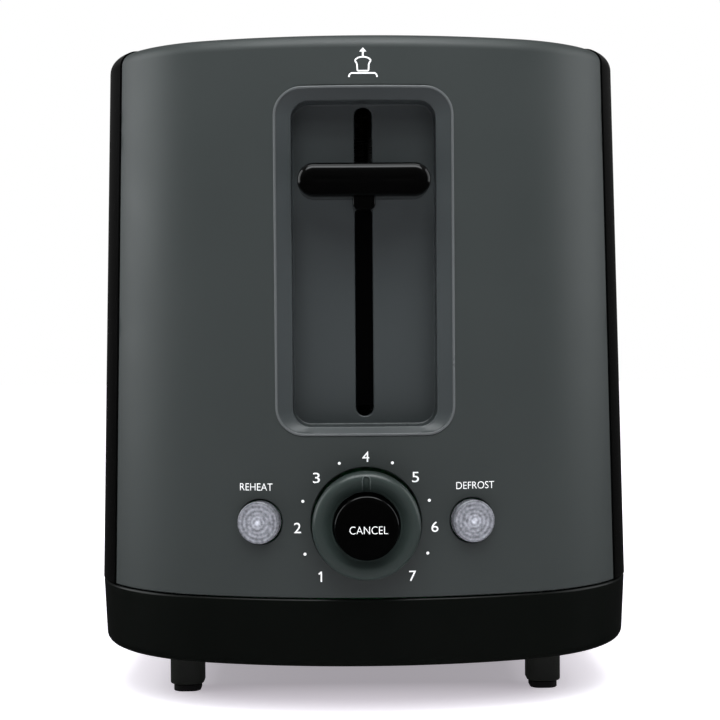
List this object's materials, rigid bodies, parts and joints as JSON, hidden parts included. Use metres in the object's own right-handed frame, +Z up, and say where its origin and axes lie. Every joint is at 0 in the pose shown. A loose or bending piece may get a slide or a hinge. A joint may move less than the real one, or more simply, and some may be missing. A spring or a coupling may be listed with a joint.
{
  "type": "pop up toaster",
  "caption": "Two-slot toaster with bulging end panels, a lever in a recess, a browning dial with a button in it, two push buttons, four legs and a pull-out crumb tray.",
  "frame": {"origin": "under the middle of the toaster, on the surface that it stands on", "axes": "+Z up, +Y from the controls to the cord end, +X to the right as seen from the controls"},
  "size_m": [0.1608, 0.294, 0.1914],
  "materials": {
    "grey_panel": "moulded charcoal grey, low gloss",
    "grey_insert": "moulded charcoal grey, satin",
    "black_gloss": "polished black",
    "black_satin": "fine matt black",
    "dial_grey": "dark grey green, satin",
    "clear_grey": "smoky translucent plastic over a reflector",
    "rubber": "matt black rubber",
    "steel": "zinc plated",
    "dark_steel": "black oxide",
    "bright_steel": "bright aluminised sheet",
    "mica": "pressed mica board with ribbon",
    "circuit_green": "lacquered circuit board",
    "copper": "enamelled copper winding"
  },
  "bodies": {
    "body": {"base": "black_gloss", "body_shell": "black_gloss", "slot_frame": "black_satin", "front_panel": "grey_panel", "rear_panel": "grey_panel", "cord_outlet": "black_satin", "lever_bezel": "grey_insert", "guide_rod": "bright_steel", "rod_bracket": "steel", "lift_spring": "steel", "magnet_core": "steel", "magnet_coil": "copper", "oven_front_wall": "bright_steel", "oven_rear_wall": "bright_steel", "control_board": "circuit_green", "dial_sensor": "black_satin", "cancel_switch": "black_satin", "reheat_switch": "black_satin", "defrost_switch": "black_satin", "foot_front_left": "black_satin", "foot_pad_front_left": "rubber", "base_screw_front_left": "steel", "foot_front_right": "black_satin", "foot_pad_front_right": "rubber", "base_screw_front_right": "steel", "foot_rear_left": "black_satin", "foot_pad_rear_left": "rubber", "base_screw_rear_left": "steel", "foot_rear_right": "black_satin", "foot_pad_rear_right": "rubber", "base_screw_rear_right": "steel", "left_reflector": "bright_steel", "heater_left_outer": "mica", "heater_left_inner": "mica", "right_reflector": "bright_steel", "heater_right_outer": "mica", "heater_right_inner": "mica"},
    "lift": {"carriage": "dark_steel", "lever_knob": "black_gloss", "bread_rack_left": "steel", "bread_rack_right": "steel", "latch_armature": "steel"},
    "dial": {"dial": "dial_grey"},
    "cancel_button": {"cancel_button": "black_gloss"},
    "reheat_button": {"reheat_button": "clear_grey"},
    "defrost_button": {"defrost_button": "clear_grey"},
    "crumb_tray": {"crumb_tray": "black_satin"},
    "guard_left_outer": {"bread_guard_left_outer": "bright_steel"},
    "guard_left_inner": {"bread_guard_left_inner": "bright_steel"},
    "guard_right_outer": {"bread_guard_right_outer": "bright_steel"},
    "guard_right_inner": {"bread_guard_right_inner": "bright_steel"}
  },
  "joints": [
    {"name": "lever_slide", "type": "slide", "parent": "body", "child": "lift", "axis": [0, 0, 1], "range_m": [-0.058, 0.016], "stiffness_N_per_m": 75, "springref_m": 0.019, "deforming": ["lift_spring"]},
    {"name": "dial_turn", "type": "hinge", "parent": "body", "child": "dial", "pos_m": [0, -0.135, 0.055], "axis": [0, 1, 0], "range_deg": [-138, 138]},
    {"name": "cancel_press", "type": "slide", "parent": "body", "child": "cancel_button", "axis": [0, 1, 0], "range_m": [0, 0.0025], "stiffness_N_per_m": 300, "springref_m": -0.002},
    {"name": "reheat_press", "type": "slide", "parent": "body", "child": "reheat_button", "axis": [0.2007, 0.9797, 0], "range_m": [0, 0.002], "stiffness_N_per_m": 300, "springref_m": -0.002},
    {"name": "defrost_press", "type": "slide", "parent": "body", "child": "defrost_button", "axis": [-0.2007, 0.9797, 0], "range_m": [0, 0.002], "stiffness_N_per_m": 300, "springref_m": -0.002},
    {"name": "crumb_tray_slide", "type": "slide", "parent": "body", "child": "crumb_tray", "axis": [0, 1, 0], "range_m": [0, 0.17]},
    {"name": "guard_left_outer_tilt", "type": "hinge", "parent": "body", "child": "guard_left_outer", "pos_m": [-0.0475, 0, 0.042], "axis": [0, 1, 0], "range_deg": [-1, 3.4]},
    {"name": "guard_left_inner_tilt", "type": "hinge", "parent": "body", "child": "guard_left_inner", "pos_m": [-0.0185, 0, 0.042], "axis": [0, -1, 0], "range_deg": [-1, 3.4]},
    {"name": "guard_right_outer_tilt", "type": "hinge", "parent": "body", "child": "guard_right_outer", "pos_m": [0.0475, 0, 0.042], "axis": [0, -1, 0], "range_deg": [-1, 3.4]},
    {"name": "guard_right_inner_tilt", "type": "hinge", "parent": "body", "child": "guard_right_inner", "pos_m": [0.0185, 0, 0.042], "axis": [0, 1, 0], "range_deg": [-1, 3.4]}
  ],
  "couplings": [
    {"joint": "guard_left_outer_tilt", "follows": "lever_slide", "rad_per_m": -1},
    {"joint": "guard_left_inner_tilt", "follows": "lever_slide", "rad_per_m": -1},
    {"joint": "guard_right_outer_tilt", "follows": "lever_slide", "rad_per_m": -1},
    {"joint": "guard_right_inner_tilt", "follows": "lever_slide", "rad_per_m": -1}
  ]
}
